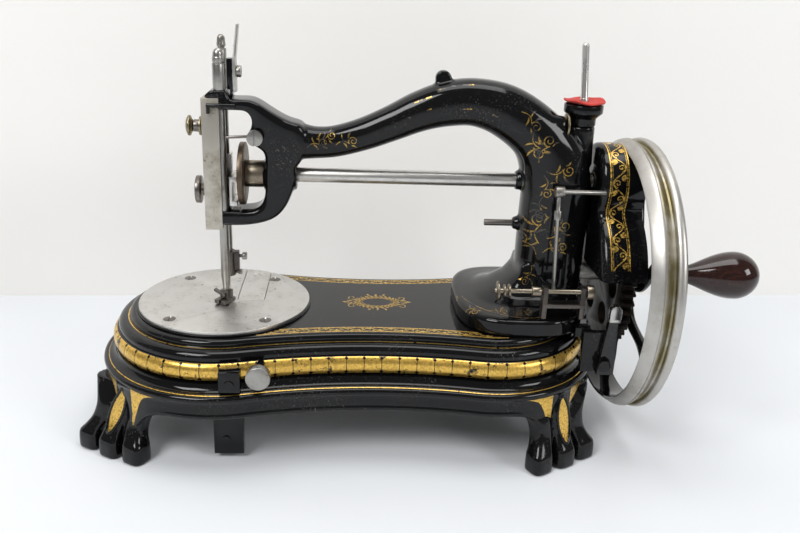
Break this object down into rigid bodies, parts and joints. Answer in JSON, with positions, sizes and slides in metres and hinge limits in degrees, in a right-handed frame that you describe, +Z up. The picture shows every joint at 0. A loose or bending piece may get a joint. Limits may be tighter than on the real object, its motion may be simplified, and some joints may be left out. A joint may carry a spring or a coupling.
{
  "type": "sewing machine",
  "caption": "Antique hand-crank shuttle sewing machine: footed cast base, gooseneck arm, open head, geared handwheel with a turned grip.",
  "frame": {"origin": "centre of the whole machine on the floor plane", "axes": "+X along the bed towards the handwheel, +Y away from the operator, +Z up"},
  "size_m": [0.4244, 0.1856, 0.2695],
  "materials": {
    "black_enamel": "gloss black enamel over cast iron, with worn gilding",
    "bright_steel": "worn bright steel",
    "dark_steel": "dark worn steel",
    "face_metal": "steel with brown age marks",
    "wheel_metal": "worn nickel on the rim, black enamel on the spokes",
    "old_brass": "tarnished brass",
    "brown_iron": "dark brown machined iron",
    "dark_wood": "turned dark wood, polished",
    "red_felt": "worn red felt"
  },
  "bodies": {
    "frame": {"base_casting": "black_enamel", "bed": "black_enamel", "needle_plate": "bright_steel", "plate_screws": "dark_steel", "arm": "black_enamel", "head_frame": "black_enamel", "face_plate": "face_metal", "gear_cover": "black_enamel", "front_bush": "old_brass", "rear_bushes": "old_brass", "spool_cup": "black_enamel", "spool_felt": "red_felt", "spool_pin": "bright_steel", "upper_guide": "old_brass", "pillar_pin": "dark_steel", "tension_stud": "old_brass", "tension_spring": "dark_steel", "thread_rod": "black_enamel", "guide_stud": "dark_steel", "thread_wire": "dark_steel", "presser_housing": "bright_steel", "presser_cap": "bright_steel", "lifter_bracket": "black_enamel", "lifter_screw": "dark_steel", "wheel_stud": "bright_steel", "wheel_screw": "dark_steel", "lever_pin": "dark_steel", "bar_guides": "black_enamel", "winder_bracket": "dark_steel", "stop_bracket": "black_enamel", "case_fittings": "black_enamel"},
    "shaft": {"main_shaft": "bright_steel", "crank_disc": "brown_iron", "barrel_cam": "dark_steel", "pinion": "dark_steel"},
    "wheel": {"handwheel": "wheel_metal", "drive_gear": "brown_iron", "handle_spindle": "bright_steel"},
    "grip": {"handle_grip": "dark_wood"},
    "needle_unit": {"needle_bar": "bright_steel", "needle_cap": "bright_steel", "crosshead": "bright_steel", "needle_clamp": "dark_steel", "clamp_screw": "dark_steel", "needle": "bright_steel"},
    "presser_unit": {"presser_bar": "bright_steel", "presser_foot": "dark_steel", "foot_screw": "dark_steel"},
    "lifter": {"lifter_lever": "bright_steel"},
    "tension_dial": {"tension_nut": "old_brass"},
    "face_dial": {"face_nut": "dark_steel"},
    "plate_slide": {"slide_cover": "bright_steel"},
    "rocker": {"rocking_lever": "dark_steel"},
    "shuttle_unit": {"shuttle_bar": "dark_steel", "shuttle": "bright_steel"},
    "feed": {"feed_dog": "dark_steel"},
    "knob": {"stitch_knob": "bright_steel"},
    "winder": {"bobbin_spindle": "bright_steel"},
    "guide": {"swing_guide": "bright_steel"},
    "stop": {"stop_lever": "dark_steel"}
  },
  "joints": [
    {"name": "wheel_spin", "type": "hinge", "parent": "frame", "child": "wheel", "pos_m": [0.14824, 0, 0.11249], "axis": [1, 0, 0], "continuous": true},
    {"name": "shaft_spin", "type": "hinge", "parent": "frame", "child": "shaft", "pos_m": [0.00824, 0, 0.176], "axis": [1, 0, 0], "continuous": true},
    {"name": "grip_spin", "type": "hinge", "parent": "wheel", "child": "grip", "pos_m": [0.18824, -0.06905, 0.13708], "axis": [1, 0, 0], "continuous": true},
    {"name": "needle_slide", "type": "slide", "parent": "frame", "child": "needle_unit", "axis": [0, 0, 1], "range_m": [0, 0.0204]},
    {"name": "lifter_turn", "type": "hinge", "parent": "frame", "child": "lifter", "pos_m": [-0.11126, 0, 0.241], "axis": [1, 0, 0], "range_deg": [0, 80]},
    {"name": "presser_slide", "type": "slide", "parent": "frame", "child": "presser_unit", "axis": [0, 0, 1], "range_m": [0, 0.006]},
    {"name": "tension_turn", "type": "hinge", "parent": "frame", "child": "tension_dial", "pos_m": [-0.13836, 0, 0.2063], "axis": [1, 0, 0], "range_deg": [-180, 180]},
    {"name": "face_nut_turn", "type": "hinge", "parent": "frame", "child": "face_dial", "pos_m": [-0.13536, 0, 0.1646], "axis": [1, 0, 0], "range_deg": [-180, 180]},
    {"name": "plate_slide_out", "type": "slide", "parent": "frame", "child": "plate_slide", "axis": [0, 1, 0], "range_m": [0, 0.045]},
    {"name": "rocker_swing", "type": "hinge", "parent": "frame", "child": "rocker", "pos_m": [0.09224, 0, 0.128], "axis": [0, 1, 0], "range_deg": [-11, 11]},
    {"name": "shuttle_travel", "type": "slide", "parent": "frame", "child": "shuttle_unit", "axis": [1, 0, 0], "range_m": [-0.0114, 0.0114]},
    {"name": "feed_travel", "type": "slide", "parent": "frame", "child": "feed", "axis": [0, 1, 0], "range_m": [-0.002, 0.002]},
    {"name": "knob_turn", "type": "hinge", "parent": "frame", "child": "knob", "pos_m": [-0.09116, -0.08, 0.071], "axis": [0, 1, 0], "range_deg": [-180, 180]},
    {"name": "winder_spin", "type": "hinge", "parent": "frame", "child": "winder", "pos_m": [0.08324, -0.046, 0.115], "axis": [1, 0, 0], "continuous": true},
    {"name": "guide_swing", "type": "hinge", "parent": "frame", "child": "guide", "pos_m": [0.10324, -0.028, 0.176], "axis": [1, 0, 0], "range_deg": [-3, 8]},
    {"name": "stop_swing", "type": "hinge", "parent": "frame", "child": "stop", "pos_m": [0.12824, -0.056, 0.069], "axis": [0, 1, 0], "range_deg": [-8, 12]}
  ],
  "couplings": [
    {"joint": "shaft_spin", "follows": "wheel_spin", "ratio": -3},
    {"joint": "lifter_turn", "follows": "presser_slide", "rad_per_m": 232.48},
    {"joint": "shuttle_travel", "follows": "rocker_swing", "m_per_rad": -0.059}
  ]
}
